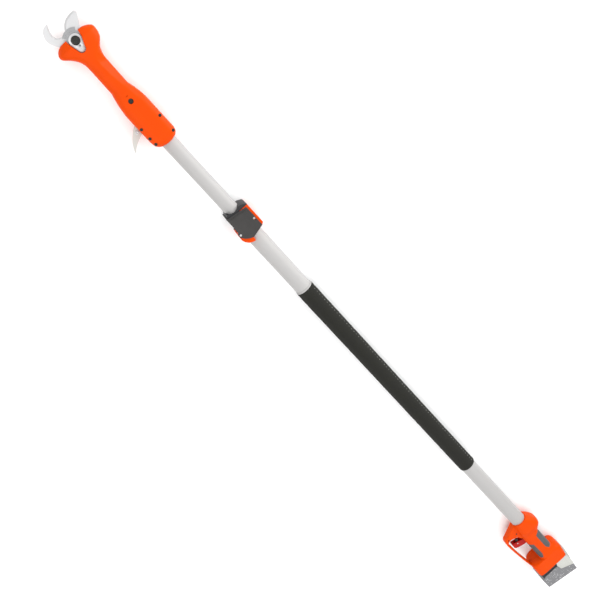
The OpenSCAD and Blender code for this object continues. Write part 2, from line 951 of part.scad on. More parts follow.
module battery_cells() {
    color("steelblue")
        at_handle()
            for (row = [-1, 1], col = [-1:1])
                translate([43 + col * cell_pitch, -22.4, row * 9.3])
                    rotate([-90, 0, 0])
                        cylinder(d = cell_d, h = cell_len);
}

module battery_latch() {
    color("black")
        at_handle()
            difference() {
                block([15.4, 47.6, -9], [26.6, 51.6, 9]);
                for (x = [17.6, 20.4, 23.2])
                    block([x, 51, -7], [x + 1.2, 52, 7]);
            }
}

head_shell_top();
head_shell_bottom();
head_case();
hook_blade();
cutting_blade();
blade_gear();
pivot_bolt();
pivot_nut();
lock_plate();
lock_screw();
blade_washers();
pinion_carrier();
planet_pins();
planet_gear_1();
planet_gear_2();
planet_gear_3();
pinion_bearings();
ring_gear();
motor_rotor();
rotor_bearings();
motor_stator();
motor_can();
motor_end_cap();
shell_screws();
body_screw();
tube_socket();
branch_hook();
hook_screw();
upper_tube();
guide_bush();
straight_cable();
coiled_cable();
clamp_collar();
clamp_body();
clamp_lever();
lever_pin();
clamp_pin();
pressure_pad();
lower_tube();
foam_grip();
foam_ring();
handle_shell_top();
handle_shell_bottom();
grip_insert_back();
grip_insert_front();
trigger();
trigger_pin();
trigger_spring();
safety_catch();
safety_pin();
micro_switch();
control_board();
handle_screws();
terminal_block();
battery_case();
battery_cap();
battery_panel();
battery_seal();
battery_cells();
battery_latch();
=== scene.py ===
"""Looks of the telescoping pole pruner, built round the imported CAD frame."""

import json
import math

import bmesh
import bpy
import numpy as np
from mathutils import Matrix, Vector


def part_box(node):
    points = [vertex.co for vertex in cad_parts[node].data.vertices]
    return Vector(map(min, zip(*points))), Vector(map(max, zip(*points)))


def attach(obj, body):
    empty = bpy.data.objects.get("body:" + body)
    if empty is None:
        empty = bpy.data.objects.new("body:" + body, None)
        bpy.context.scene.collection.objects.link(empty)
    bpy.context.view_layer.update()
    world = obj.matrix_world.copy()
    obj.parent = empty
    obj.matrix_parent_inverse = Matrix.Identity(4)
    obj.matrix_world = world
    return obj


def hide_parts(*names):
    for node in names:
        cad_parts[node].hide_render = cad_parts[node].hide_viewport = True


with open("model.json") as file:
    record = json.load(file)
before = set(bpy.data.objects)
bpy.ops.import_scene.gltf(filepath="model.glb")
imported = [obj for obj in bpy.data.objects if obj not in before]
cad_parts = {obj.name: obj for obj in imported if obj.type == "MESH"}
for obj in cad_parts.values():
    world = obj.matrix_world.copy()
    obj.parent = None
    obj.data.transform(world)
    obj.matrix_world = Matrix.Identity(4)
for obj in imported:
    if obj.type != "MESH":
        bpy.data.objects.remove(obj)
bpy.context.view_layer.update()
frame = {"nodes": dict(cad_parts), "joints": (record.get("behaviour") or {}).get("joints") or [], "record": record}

# ---- Places: the origins of the head, the handle and the clamp ---------------------------
MM = 0.001
CLAMP_FRONT = 367  # the clamp's front face, this far behind the blade pivot
PIVOT = Vector(next(j["pos_m"] for j in frame["joints"] if j["name"] == "blade_pivot"))
REAR = Vector((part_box("battery_cap")[0].x, PIVOT.y, PIVOT.z))
CLAMP = PIVOT - Vector((CLAMP_FRONT * MM, 0, 0))


# ---- Materials -------------------------------------------------------------------------
def node(tree, kind, **values):
    """A new shader node with its plain properties set."""
    made = tree.nodes.new(kind)
    for key, value in values.items():
        setattr(made, key, value)
    return made


def start_material(name, colour, rough, metallic=0.0, coat=0.0, specular=0.5):
    """A principled material with its constants set, and its object coordinates."""
    mat = bpy.data.materials.new(name)
    mat.use_nodes = True
    tree = mat.node_tree
    shader = tree.nodes["Principled BSDF"]
    shader.inputs["Base Color"].default_value = (*colour, 1)
    shader.inputs["Roughness"].default_value = rough
    shader.inputs["Metallic"].default_value = metallic
    shader.inputs["Coat Weight"].default_value = coat
    shader.inputs["Coat Roughness"].default_value = 0.18
    shader.inputs["Specular IOR Level"].default_value = specular
    return mat, tree, shader, node(tree, "ShaderNodeTexCoord").outputs["Object"]


def stretched(tree, coords, scale):
    """Coordinates scaled by its own amount along each axis."""
    mapping = node(tree, "ShaderNodeMapping")
    mapping.inputs["Scale"].default_value = scale
    tree.links.new(coords, mapping.inputs["Vector"])
    return mapping.outputs["Vector"]


def noise(tree, coords, scale, detail=4.0, rough=0.55):
    made = node(tree, "ShaderNodeTexNoise")
    made.inputs["Scale"].default_value = scale
    made.inputs["Detail"].default_value = detail
    made.inputs["Roughness"].default_value = rough
    tree.links.new(coords, made.inputs["Vector"])
    return made.outputs["Fac"]


def scattered(tree, coords, scale, randomness=1.0):
    """Distance to the nearest of many scattered points."""
    made = node(tree, "ShaderNodeTexVoronoi", feature="F1")
    made.inputs["Scale"].default_value = scale
    made.inputs["Randomness"].default_value = randomness
    tree.links.new(coords, made.inputs["Vector"])
    return made.outputs["Distance"]


def ranged(tree, value, low, high, start=0.3, end=0.7):
    """value stretched from start..end to low..high."""
    made = node(tree, "ShaderNodeMapRange")
    made.inputs["From Min"].default_value = start
    made.inputs["From Max"].default_value = end
    made.inputs["To Min"].default_value = low
    made.inputs["To Max"].default_value = high
    tree.links.new(value, made.inputs["Value"])
    return made.outputs["Result"]


def mixed(tree, factor, first, second):
    """Colour between two colours, or between a colour and a socket."""
    made = node(tree, "ShaderNodeMix", data_type="RGBA")
    tree.links.new(factor, made.inputs["Factor"])
    for socket, colour in ((made.inputs["A"], first), (made.inputs["B"], second)):
        if isinstance(colour, tuple):
            socket.default_value = (*colour, 1)
        else:
            tree.links.new(colour, socket)
    return made.outputs["Result"]


def bumped(tree, shader, height, strength, distance):
    """Relief of the surface from a height, up to distance in metres."""
    made = node(tree, "ShaderNodeBump")
    made.inputs["Strength"].default_value = strength
    made.inputs["Distance"].default_value = distance
    tree.links.new(height, made.inputs["Height"])
    tree.links.new(made.outputs["Normal"], shader.inputs["Normal"])


def shade(colour, factor):
    return tuple(min(1.0, c * factor) for c in colour)


def clouded(tree, value, colour, darkest, palest):
    """Shades of a colour between two factors, as value goes up."""
    return mixed(tree, ranged(tree, value, 0, 1), shade(colour, darkest), shade(colour, palest))


def plastic(name, colour, rough, grain=900.0, bump=0.12, spread=0.08, coat=0.0, specular=0.32):
    """Moulded plastic: faint cloudy colour, a fine spark texture and handling marks."""
    mat, tree, shader, coords = start_material(name, colour, rough, coat=coat, specular=specular)
    cloud = noise(tree, coords, 34.0, detail=5.0)
    scuff = noise(tree, stretched(tree, coords, (60, 420, 420)), 2.2, detail=6.0, rough=0.7)
    base = clouded(tree, cloud, colour, 1 - spread, 1 + spread)
    worn = mixed(tree, ranged(tree, scuff, 0, 0.25, start=0.62, end=0.8), base, shade(colour, 1.25))
    tree.links.new(worn, shader.inputs["Base Color"])
    tree.links.new(ranged(tree, scuff, rough - 0.05, rough + 0.1), shader.inputs["Roughness"])
    bumped(tree, shader, noise(tree, coords, grain, detail=3.0), bump, 0.3 * MM)
    return mat


def metal(name, colour, rough, brush=(30, 900, 900), bump=0.05, spread=0.06, stain=0.86, metallic=1.0):
    """Brushed or machined metal, with the lines along the axis that brush stretches."""
    mat, tree, shader, coords = start_material(name, colour, rough, metallic=metallic)
    lines = noise(tree, stretched(tree, coords, brush), 1.0, detail=6.0, rough=0.6)
    cloud = noise(tree, coords, 22.0)
    base = clouded(tree, lines, colour, 1 - spread, 1 + spread)
    stained = mixed(tree, ranged(tree, cloud, 0, 0.35, start=0.5, end=0.75), base, shade(colour, stain))
    tree.links.new(stained, shader.inputs["Base Color"])
    tree.links.new(ranged(tree, lines, rough - 0.06, rough + 0.1), shader.inputs["Roughness"])
    bumped(tree, shader, lines, bump, 0.2 * MM)
    return mat


def rubber(name, colour, rough, cell=420.0, bump=0.5, spread=0.22):
    """Foam or soft rubber, with open cells darkened by painted shade in each pore, and pale rubbed spots."""
    mat, tree, shader, coords = start_material(name, colour, rough, specular=0.3)
    cells = scattered(tree, coords, cell)
    patch = noise(tree, coords, 85.0, detail=6.0, rough=0.65)
    base = clouded(tree, patch, colour, 1 - spread, 1 + 1.6 * spread)
    # Painted shade: the middle of each cell, where the bump sinks a pore, is darkened to half the colour
    pore_shade = ranged(tree, cells, 0.5, 0, start=0.0, end=0.35)
    tree.links.new(mixed(tree, pore_shade, base, shade(colour, 0.5)), shader.inputs["Base Color"])
    tree.links.new(ranged(tree, patch, rough - 0.1, rough + 0.08), shader.inputs["Roughness"])
    bumped(tree, shader, cells, bump, 0.6 * MM)
    return mat


def dotted(name, colour, dot_colour):
    """Textured grey plastic of the battery's end band, with a field of fine pale dots."""
    mat, tree, shader, coords = start_material(name, colour, 0.55)
    dots = scattered(tree, coords, 260.0, randomness=0.45)
    patch = noise(tree, coords, 60.0, detail=3.0)
    grain = noise(tree, coords, 700.0)
    base = clouded(tree, grain, colour, 0.8, 1.18)
    gate = node(tree, "ShaderNodeMath", operation="MULTIPLY")
    tree.links.new(ranged(tree, dots, 1, 0, start=0.2, end=0.3), gate.inputs[0])
    tree.links.new(ranged(tree, patch, 0.15, 1, start=0.42, end=0.56), gate.inputs[1])
    tree.links.new(mixed(tree, gate.outputs["Value"], base, dot_colour), shader.inputs["Base Color"])
    tree.links.new(ranged(tree, grain, 0.45, 0.65), shader.inputs["Roughness"])
    bumped(tree, shader, grain, 0.35, 0.4 * MM)
    return mat


MATERIALS = {
    "orange": plastic("orange_plastic", (0.64, 0.054, 0.0), 0.42, grain=700, bump=0.05, spread=0.04,
                      specular=0.07),
    "steel": metal("polished_steel", (0.54, 0.54, 0.545), 0.38, brush=(16, 260, 16), bump=0.012,
                   spread=0.02, stain=0.95),
    "dark_steel": metal("blackened_steel", (0.04, 0.04, 0.037), 0.42, brush=(400, 400, 400), bump=0.1,
                        spread=0.2),
    "gear_steel": metal("machined_steel", (0.31, 0.31, 0.318), 0.30, brush=(700, 700, 700), bump=0.04),
    "bronze": metal("bearing_bronze", (0.62, 0.42, 0.16), 0.36, brush=(500, 500, 500), bump=0.1),
    "aluminium": metal("anodised_aluminium", (0.385, 0.378, 0.372), 0.6, brush=(10, 1500, 1500), bump=0.02,
                       spread=0.02, stain=0.95, metallic=0.15),
    "cast": metal("cast_alloy", (0.30, 0.30, 0.31), 0.5, brush=(260, 260, 260), bump=0.35, spread=0.12),
    "black_plastic": plastic("black_plastic", (0.016, 0.016, 0.018), 0.5, grain=1100, bump=0.3, spread=0.2),
    "dark_plastic": plastic("dark_grey_plastic", (0.031, 0.029, 0.028), 0.52, grain=1300, bump=0.35,
                            spread=0.16),
    "foam": rubber("foam_rubber", (0.0115, 0.0115, 0.009), 0.9),
    "worn_foam": rubber("worn_foam", (0.13, 0.13, 0.12), 0.8),
    "soft_grey": rubber("soft_grey_rubber", (0.075, 0.075, 0.077), 0.66, cell=900, bump=0.25, spread=0.12),
    "red_plastic": plastic("red_plastic", (0.32, 0.002, 0.0), 0.45, grain=800, bump=0.08, spread=0.1,
                           specular=0.2),
    "grey_plastic": dotted("dotted_grey_plastic", (0.155, 0.155, 0.162), (0.54, 0.54, 0.54)),
    "white_plastic": plastic("pale_plastic", (0.43, 0.43, 0.40), 0.25, grain=500, bump=0.04, spread=0.03,
                             coat=0.5),
    "light_hook": plastic("hook_plastic", (0.54, 0.545, 0.515), 0.45, bump=0.15, spread=0.05),
    "copper": metal("copper_windings", (0.60, 0.25, 0.12), 0.35, brush=(60, 900, 900), bump=0.6),
    "board": plastic("circuit_board", (0.02, 0.16, 0.05), 0.4, grain=300, bump=0.3, spread=0.3),
    "cell": plastic("cell_sleeve", (0.05, 0.18, 0.50), 0.3, grain=600, bump=0.05, spread=0.1),
    "cable": plastic("cable_sheath", (0.014, 0.014, 0.014), 0.5, bump=0.2, spread=0.2),
}
SLOT_OF = {part["node"]: part["material_slot"] for part in frame["record"]["subparts"]}


def dress(obj, slot_name):
    """Gives a piece the material of its slot."""
    obj.data.materials.clear()
    obj.data.materials.append(MATERIALS[slot_name])
    for polygon in obj.data.polygons:
        polygon.material_index = 0


for name, obj in frame["nodes"].items():
    dress(obj, SLOT_OF[name])


# ---- Mesh helpers: sizes in millimetres round an origin in the frame --------------------
MERGE = 0.004 * MM  # points closer than this become one
SLIVER = 0.002 * MM  # edges shorter than this are dissolved
FLAT = math.radians(0.5)  # faces that meet at less than this become one
SHARP = 35  # edges sharper than this many degrees are rounded
CRISP = 32  # faces that meet at more than this many degrees are shaded apart
KEEN_CRISP = 12  # the same for a ground blade, whose bevels are shallow


def outward(obj):
    """Turns every face's normal outwards."""
    form = bmesh.new()
    form.from_mesh(obj.data)
    bmesh.ops.recalc_face_normals(form, faces=form.faces)
    form.to_mesh(obj.data)
    form.free()


def mesh_object(name, points, faces, origin):
    """A new object from points and faces, with its normals outwards."""
    mesh = bpy.data.meshes.new(name)
    mesh.from_pydata([origin + MM * Vector(p) for p in points], [], faces)
    obj = bpy.data.objects.new(name, mesh)
    bpy.context.scene.collection.objects.link(obj)
    outward(obj)
    return obj


def grid_faces(rows, count, wrap_rows=False):
    """Quads between rows of count points each; wrap_rows joins the last row to the first."""
    last = rows if wrap_rows else rows - 1
    faces = []
    for r in range(last):
        a, b = r * count, (r + 1) % rows * count
        for i in range(count):
            j = (i + 1) % count
            faces.append((a + i, a + j, b + j, b + i))
    return faces


def loft(rings, origin, name="tool"):
    """Closed skin through rings of points, capped at both ends."""
    count = len(rings[0])
    points = [p for ring in rings for p in ring]
    faces = grid_faces(len(rings), count)
    faces += [tuple(range(count)), tuple(range(len(points) - count, len(points)))]
    return mesh_object(name, points, faces, origin)


def prism(outline, low, high, origin, name="tool"):
    """A flat outline made solid between two heights."""
    return loft([[(x, y, z) for x, y in outline] for z in (low, high)], origin, name)


def block(low, high, origin):
    """A block between two corners."""
    corners = [(low[0], low[1]), (high[0], low[1]), (high[0], high[1]), (low[0], high[1])]
    return prism(corners, low[2], high[2], origin)


def circle(centre, radius, sides=64):
    turns = [math.tau * i / sides for i in range(sides)]
    return [(centre[0] + radius * math.cos(t), centre[1] + radius * math.sin(t)) for t in turns]


def post(centre, diameter, low, high, origin):
    """A round post along Z."""
    return prism(circle(centre, diameter / 2), low, high, origin)


def bar(diameter, start, end, origin):
    """A round bar along X."""
    ring = circle((0, 0), diameter / 2)
    return loft([[(x, y, z) for y, z in ring] for x in (start, end)], origin)


def lathe(name, profile, origin, sides=96):
    """A ring of profile points (x, radius) turned round the X axis."""
    rows = []
    for i in range(sides):
        t = math.tau * i / sides
        rows.append([(x, r * math.cos(t), r * math.sin(t)) for x, r in profile])
    points = [p for row in rows for p in row]
    return mesh_object(name, points, grid_faces(sides, len(profile), True), origin)


def settle(obj):
    """Applies every modifier."""
    graph = bpy.context.evaluated_depsgraph_get()
    mesh = bpy.data.meshes.new_from_object(obj.evaluated_get(graph))
    obj.modifiers.clear()
    obj.data = mesh
    return obj


def combine(obj, tools, operation="DIFFERENCE"):
    """Cuts, joins or keeps what obj shares with each tool in turn, and removes the tools."""
    for tool in tools:
        modifier = obj.modifiers.new("combine", "BOOLEAN")
        modifier.operation = operation
        modifier.solver = "MANIFOLD"
        modifier.object = tool
        settle(obj)
        bpy.data.objects.remove(tool)
    return obj


def copy_of(obj):
    made = obj.copy()
    made.data = obj.data.copy()
    bpy.context.scene.collection.objects.link(made)
    return made


def bevel(obj, width, segments=3, angle=SHARP):
    """Rounds the edges that are sharper than angle degrees."""
    modifier = obj.modifiers.new("round", "BEVEL")
    modifier.width = width * MM
    modifier.segments = segments
    modifier.limit_method = "ANGLE"
    modifier.angle_limit = math.radians(angle)
    return settle(obj)


def smooth(obj, angle=CRISP):
    """Smooth shading with crisp edges where faces meet at more than angle degrees."""
    form = bmesh.new()
    form.from_mesh(obj.data)
    bmesh.ops.remove_doubles(form, verts=form.verts, dist=MERGE)
    bmesh.ops.dissolve_degenerate(form, edges=form.edges, dist=SLIVER)
    for face in form.faces:
        face.smooth = True
    for edge in form.edges:
        edge.smooth = len(edge.link_faces) == 2 and edge.calc_face_angle(0) < math.radians(angle)
    form.to_mesh(obj.data)
    form.free()
    return obj


def place(obj, name, body, slot_name, *stands_for, angle=CRISP):
    """Names a finished piece, dresses it, and lets it ride on its body."""
    obj.name = name
    obj.data.name = name
    smooth(obj, angle)
    dress(obj, slot_name)
    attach(obj, body)
    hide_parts(*stands_for)
    return obj


# ---- Outlines ---------------------------------------------------------------------------
RING_STEP = 1.5
SEAM = 0.12  # from the pole axis to the edge of each half of a casing
FAR = 800  # past both ends of the tool


def curve(a, b, c, n=10):
    """Points of a curve from a to c that leaves and arrives towards b."""
    made = []
    for i in range(n + 1):
        t = i / n
        weights = ((1 - t) ** 2, 2 * t * (1 - t), t * t)
        made.append(tuple(sum(w * p[k] for w, p in zip(weights, (a, b, c))) for k in (0, 1)))
    return made


def crossing(outline, x):
    """Lowest and highest Y of a closed outline at x."""
    found = []
    for (x0, y0), (x1, y1) in zip(outline, outline[1:] + outline[:1]):
        if x0 != x1 and min(x0, x1) <= x <= max(x0, x1):
            found.append(y0 + (y1 - y0) * (x - x0) / (x1 - x0))
    return min(found), max(found)


def eased(pairs, x, reach=4.0):
    """Value at x along (x, value) pairs, with the corners eased over reach each way."""
    ordered = sorted(pairs)
    around = x + np.linspace(-reach, reach, 9)
    return float(np.mean(np.interp(around, [p[0] for p in ordered], [p[1] for p in ordered])))


def section(x, low, high, half, power, count=96, shrink=0.0):
    """Ring of points across X: a rounded rectangle from low to high, and half up and half down.
    A higher power makes its corners squarer."""
    centre, a, b = (low + high) / 2, (high - low) / 2 - shrink, half - shrink
    ring = []
    for i in range(count):
        t = math.tau * (i + 0.5) / count
        radius = ((abs(math.cos(t)) / a) ** power + (abs(math.sin(t)) / b) ** power) ** (-1 / power)
        ring.append((x, centre + radius * math.cos(t), radius * math.sin(t)))
    return ring


def stations(start, end, extra):
    """Places of a casing's rings along X, about RING_STEP apart, with a few extra ones."""
    count = int((end - start) / RING_STEP) + 1
    return sorted({*np.linspace(start, end, count).round(3), *extra})


def halves(obj):
    """Splits a shell at the pole axis into its top and bottom, with a fine parting line."""
    made = []
    for side in (1, -1):
        low, high = sorted((side * SEAM, side * 60))
        keep = block((-FAR, -99, low), (FAR, 99, high), Vector((0, PIVOT.y, PIVOT.z)))
        made.append(combine(copy_of(obj), [keep], "INTERSECT"))
    bpy.data.objects.remove(obj)
    return made


# ---- Head casing: X and Y from the blade pivot ------------------------------------------
LOBES = (
    [(10.5, -12)]
    + curve((10.7, -17), (8, -29), (1, -36))
    + curve((-2, -37), (-16, -37), (-22, -31))
    + curve((-25, -28), (-33, -17.5), (-52, -16.8))
    + [(-96, -16.2)]
    + curve((-100, -16.4), (-120, -22.4), (-138, -23))
    + [(-196, -23)]
    + curve((-200, -23), (-212.5, -21), (-212.5, -8))
    + curve((-212.5, 6), (-212.5, 17), (-203, 22.5))
    + [(-194, 24.2), (-142, 24.2)]
    + curve((-134, 23.8), (-112, 21.5), (-97, 16.4))
    + [(-50, 15.6)]
    + curve((-40, 15.8), (-26, 17), (-14, 31))
    + curve((-11, 34.6), (-8, 39), (-3, 38), 6)
    + curve((0, 37.3), (10, 30), (9, 20))
    + [(8, 9.5)]
)
LOBE_FRONT = -3.5  # the lobes slope down ahead of this
# Half the height of the casing along X, and how square its cross-section is
HEAD_HEIGHT = [(12, 11.5), (LOBE_FRONT, 20.4), (-24, 21), (-52, 17), (-96, 17)]
HEAD_HEIGHT += [(-138, 24), (-150, 25), (-204, 25), (-212.5, 17)]
HEAD_POWER = [(10, 3.6), (-25, 3.6), (-55, 2.7), (-95, 2.7), (-140, 4.2), (-215, 4.2)]
SHELL_SCREWS = [(-170, -18.5), (-202, -18.2), (-167, 20), (-187, 20), (-200, 19)]
BODY_SCREW = (-123, 1)
HOOK_SCREW = (-168, 29)
SCREW_HOLE = 2.8
SCREW_SEAT = 5.6
LONG_HOLE = 3.2
CREASE = [(-152, -23), (-144, -16.5), (-122, -11), (-101, -8.1), (-76, -4.6), (-48, -3.5), (-30, -6)]
CREASE_SLOPE = 0.75
CREASE_STEP = 0.1  # drop right at the crease
CREASE_FADES = (8, 22)  # lengths over which it comes in at its rear and front ends


def creased(ring):
    """Slopes the flank down from the crease line to the back edge, top and bottom alike."""
    rear, front = CREASE[0][0], CREASE[-1][0]
    rear_fade, front_fade = CREASE_FADES
    x = ring[0][0]
    if not rear < x < front:
        return ring
    line = np.interp(x, *zip(*CREASE))
    depth = min(1.0, (front - x) / front_fade, (x - rear) / rear_fade)
    top = max(point[2] for point in ring)
    made = []
    for along, y, z in ring:
        limit = top - depth * (CREASE_SLOPE * max(0, line - y) + CREASE_STEP)
        made.append((along, y, math.copysign(min(abs(z), limit), z) if y < line else z))
    return made


def lock_outline(grow):
    """Opening for the lock plate: a round end at the pivot and a small one at its screw."""
    screw, middle = (-14.5, 1.5), (-7, 1)
    big = [p for p in circle((0, 0), 11 + grow, 96) if p[0] > -2]
    small = [p for p in circle(screw, 6 + grow, 96) if p[0] < screw[0]]
    return sorted(big + small, key=lambda p: math.atan2(p[1] - middle[1], p[0] - middle[0]))


def head_room():
    """Room for the blades, the gears, the motor, the socket and the screws."""
    under, over = -30, 30
    lock_floor, bolt_roof = 11.6, -8.2
    blade_floor, blade_roof, gear_roof = -4.3, 4.25, 9.2
    made = [
        # Gear frame, bevel sector and the sweep of the blades
        block((-37, -14, -8.4), (20, 14, 11.8), PIVOT),
        prism([p for p in circle((0, 0), 22.6) if p[0] < 12], blade_floor, gear_roof, PIVOT),
        prism([(-13, -19), (20, -26), (20, 31), (-13, 26)], blade_floor, blade_roof, PIVOT),
        # Motor and its gears, and the cable behind them
        bar(27.4, -114, -30, PIVOT),
        bar(40, -161, -113, PIVOT),
        # Openings over the lock plate and under the bolt's head
        prism(lock_outline(0.8), lock_floor, over, PIVOT),
        prism([(0, -11.8), (20, -16), (20, 13), (0, 11.8)], lock_floor, over, PIVOT),
        post((0, 0), 21, under, bolt_roof, PIVOT),
        prism([(0, -10.5), (20, -12), (20, 12), (0, 10.5)], under, bolt_roof, PIVOT),
        # Tube socket, and the mouth for the tube
        bar(33, -210, -160, PIVOT),
        bar(27.3, -220, -209, PIVOT),
        # Long screw and the seat of its head
        post(BODY_SCREW, LONG_HOLE, under, over, PIVOT),
        post(BODY_SCREW, 9, 17, over, PIVOT),
    ]
    for screw in SHELL_SCREWS:
        made.append(post(screw, SCREW_HOLE, -14, over, PIVOT))
        made.append(post(screw, SCREW_SEAT, 19, over, PIVOT))
    return made


def head_shells():
    """Both halves of the head casing, the lower one with the ear that carries the branch hook."""
    rings = []
    for x in stations(-212.4, 10.4, [LOBE_FRONT]):
        low, high = crossing(LOBES, x)
        # The edge where the lobes' front begins stays crisp, and the others are eased
        height = eased(HEAD_HEIGHT, x, 4.0 if x < -12 else 0.4)
        ring = section(x, low, high, height, eased(HEAD_POWER, x))
        rings.append(creased(ring))
    shell = combine(loft(rings, PIVOT), head_room())
    top, bottom = halves(shell)
    ear = prism([(-176, 23), (-174, 33), (-162, 33), (-159, 23)], -6, -2, PIVOT)
    bevel(ear, 0.8, 2)
    combine(bottom, [ear], "UNION")
    combine(bottom, [post(HOOK_SCREW, LONG_HOLE, -10, 10, PIVOT)])
    place(top, "head_casing_top", "upper_pole", "orange", "head_shell_top")
    place(bottom, "head_casing_bottom", "upper_pole", "orange", "head_shell_bottom")


head_shells()


# ---- Handle casing: X from the battery's end --------------------------------------------
GRIP = (
    [(194, -17.5), (183, -26.4)]
    + curve((172, -31.5), (163, -33.5), (157, -28.6), 8)
    + curve((147, -20), (143, -17.6), (138, -17.4), 6)
    + [(93, -17.4)]
    + curve((90, -18), (88, -30), (76, -30.4))
    + [(50, -27), (50, 48), (74, 48)]
    + curve((74, 48), (81, 48), (81, 40), 8)
    + [(81, 21), (150, 21), (194, 17)]
)
GUARD = (
    [(194, 16)]
    + curve((176, 50), (173, 56), (164, 56), 8)
    + [(158, 56)]
    + curve((154, 56), (112, 53.5), (76, 48), 10)
    + [(76, 40), (81, 45)]
    + curve((83, 46), (125, 51), (157, 51.6), 10)
    + curve((163, 51.8), (170, 51), (169, 40), 8)
    + [(163, 27), (153, 22), (147, 16)]
)
HANDLE_HEIGHT = [(194, 18.4), (170, 22), (164, 22), (152, 17), (94, 17), (83, 25), (50, 25)]
HANDLE_POWER = [(194, 2.6), (168, 3.2), (150, 3.0), (96, 3.0), (84, 4.2), (72, 7), (50, 8)]
HANDLE_SCREWS = [(168, -24, 17), (173, 24, 5), (151, -18.5, 13), (90, -1, 13), (173, 46.5, 5)]
BACK_INSERT = [(147, -19), (140, -4.8), (99, -4.4), (92, -9), (93.5, -19)]
FRONT_INSERT = [(132, 23), (125, 11.8), (92, 11), (85.5, 14.5), (85, 23)]
INSERT_T = 2.2
TRIGGER_PIVOT = (140, 12)
HOUSING_STEP = (80.85, 81.1)  # where the battery housing's wall stands up from the grip
GUARD_HALF = 9


def grip_form(shrink=0.0, start=50.1, end=193.8):
    """Skin of the grip and the battery housing, or the same form shrunk all round."""
    rings = []
    for x in stations(start, end, HOUSING_STEP):
        low, high = crossing(GRIP, x)
        height = eased(HANDLE_HEIGHT, x, 3.0)
        rings.append(section(x, low, high, height, eased(HANDLE_POWER, x, 2.0), 112, shrink))
    return loft(rings, REAR)


def insert_band(outline):
    """The layer that a soft insert fills: its outline, down to INSERT_T below the skin."""
    return combine(prism(outline, -40, 40, REAR), [grip_form(INSERT_T, 82, 160)])


def handle_room():
    """Room for the pole, the switch, the board, the battery and the screws."""
    made = [
        # Pole, inside of the grip, way for the wires, and slot for the trigger
        bar(32, 158, 210, REAR),
        block((98, -12, -13.4), (158.1, 16.4, 13.4), REAR),
        block((83, 3, -6), (99, 10, 6), REAR),
        block((128, 10, -6.5), (158, 24, 6.5), REAR),
        # Battery bay, terminal block and the trigger's pin
        block((45, -24.4, -22.1), (77, 43.6, 22.1), REAR),
        block((76, -10.2, -8.2), (83.2, 14.2, 8.2), REAR),
        post(TRIGGER_PIVOT, 4, -14.6, 14.6, REAR),
    ]
    for x, y, seat in HANDLE_SCREWS:
        made.append(post((x, y), SCREW_HOLE, -30, 10, REAR))
        made.append(post((x, y), SCREW_SEAT, -30, -seat, REAR))
    return made


def handle_shells():
    """Both halves of the handle casing with the guard, and the soft inserts in their seats."""
    whole = grip_form()
    for name, outline in (("grip_insert_back", BACK_INSERT), ("grip_insert_front", FRONT_INSERT)):
        band = insert_band(outline)
        insert = combine(copy_of(band), [copy_of(whole)], "INTERSECT")
        bevel(insert, 0.35, 2, angle=50)
        place(insert, "soft_" + name, "lower_pole", "soft_grey", name)
        combine(whole, [band])
    guard = bevel(prism(GUARD, -GUARD_HALF, GUARD_HALF, REAR), 1.7, 4, angle=50)
    combine(whole, [guard], "UNION")
    combine(whole, handle_room())
    top, bottom = halves(whole)
    place(top, "handle_casing_top", "lower_pole", "orange", "handle_shell_top")
    place(bottom, "handle_casing_bottom", "lower_pole", "orange", "handle_shell_bottom")


handle_shells()


# ---- Pole and foam: X from the blade pivot ----------------------------------------------
def round_size(cad_node):
    """Both ends along X and the radius of a round CAD node on the pole axis."""
    low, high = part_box(cad_node)
    return (low.x - PIVOT.x) / MM, (high.x - PIVOT.x) / MM, (high.z - PIVOT.z) / MM


def tube(name, cad_node, body, slot_name, wall, round_over=0.4):
    """Tube along X, the size of its CAD node, with rounded mouths."""
    x0, x1, outer = round_size(cad_node)
    inner = outer - wall
    step = min(round_over, wall * 0.45)
    bulge = step * 0.3
    profile = [(x0, inner + step), (x0 + step, inner)]
    profile += [(x1 - step, inner), (x1, inner + step)]
    profile += [(x1, outer - step), (x1 - bulge, outer - bulge), (x1 - step, outer)]
    profile += [(x0 + step, outer), (x0 + bulge, outer - bulge), (x0, outer - step)]
    return place(lathe(name, profile, PIVOT), name, body, slot_name, cad_node)


tube("inner_pole", "upper_tube", "upper_pole", "aluminium", 1.5)
tube("foam_end_ring", "foam_ring", "lower_pole", "aluminium", 1.2, 0.5)


FOAM_BORE = 16.02
NUB_ROWS = ((140, 9), (228, 13))  # degrees round the foam, and start along it
NUB_PITCH = 7.4
NUB_RINGS = ((1.1, -0.5), (1.1, -0.12), (0.7, 0.02))  # radius, and rise above the foam
NUB_SIDES = 8


def foam_sleeve():
    """Foam rubber sleeve with rounded ends, slightly uneven along its length."""
    x0, x1, outer = round_size("foam_grip")
    shoulder = outer - 1.1
    ring = [(x0, FOAM_BORE), (x1, FOAM_BORE), (x1, shoulder)]
    ring += curve((x1, shoulder), (x1, outer), (x1 - 1.4, outer), 4)[1:]
    ring += [(x, outer) for x in np.linspace(x1 - 3, x0 + 3, 180)]
    ring += curve((x0 + 1.4, outer), (x0, outer), (x0, shoulder), 4)
    sleeve = lathe("foam_sleeve", ring, PIVOT, 72)
    for vertex in sleeve.data.vertices:
        x, y, z = (vertex.co - PIVOT) / MM
        radius = math.hypot(y, z)
        if radius > outer - 0.2:
            turn = math.atan2(z, y)
            dent = 0.12 * (1 + math.sin(0.31 * x + 2 * turn)) * (1 + math.sin(0.083 * x - turn)) / 2
            scale = (radius - dent) / radius
            vertex.co = PIVOT + MM * Vector((x, y * scale, z * scale))
    place(sleeve, "foam_sleeve", "lower_pole", "foam", "foam_grip")


foam_sleeve()


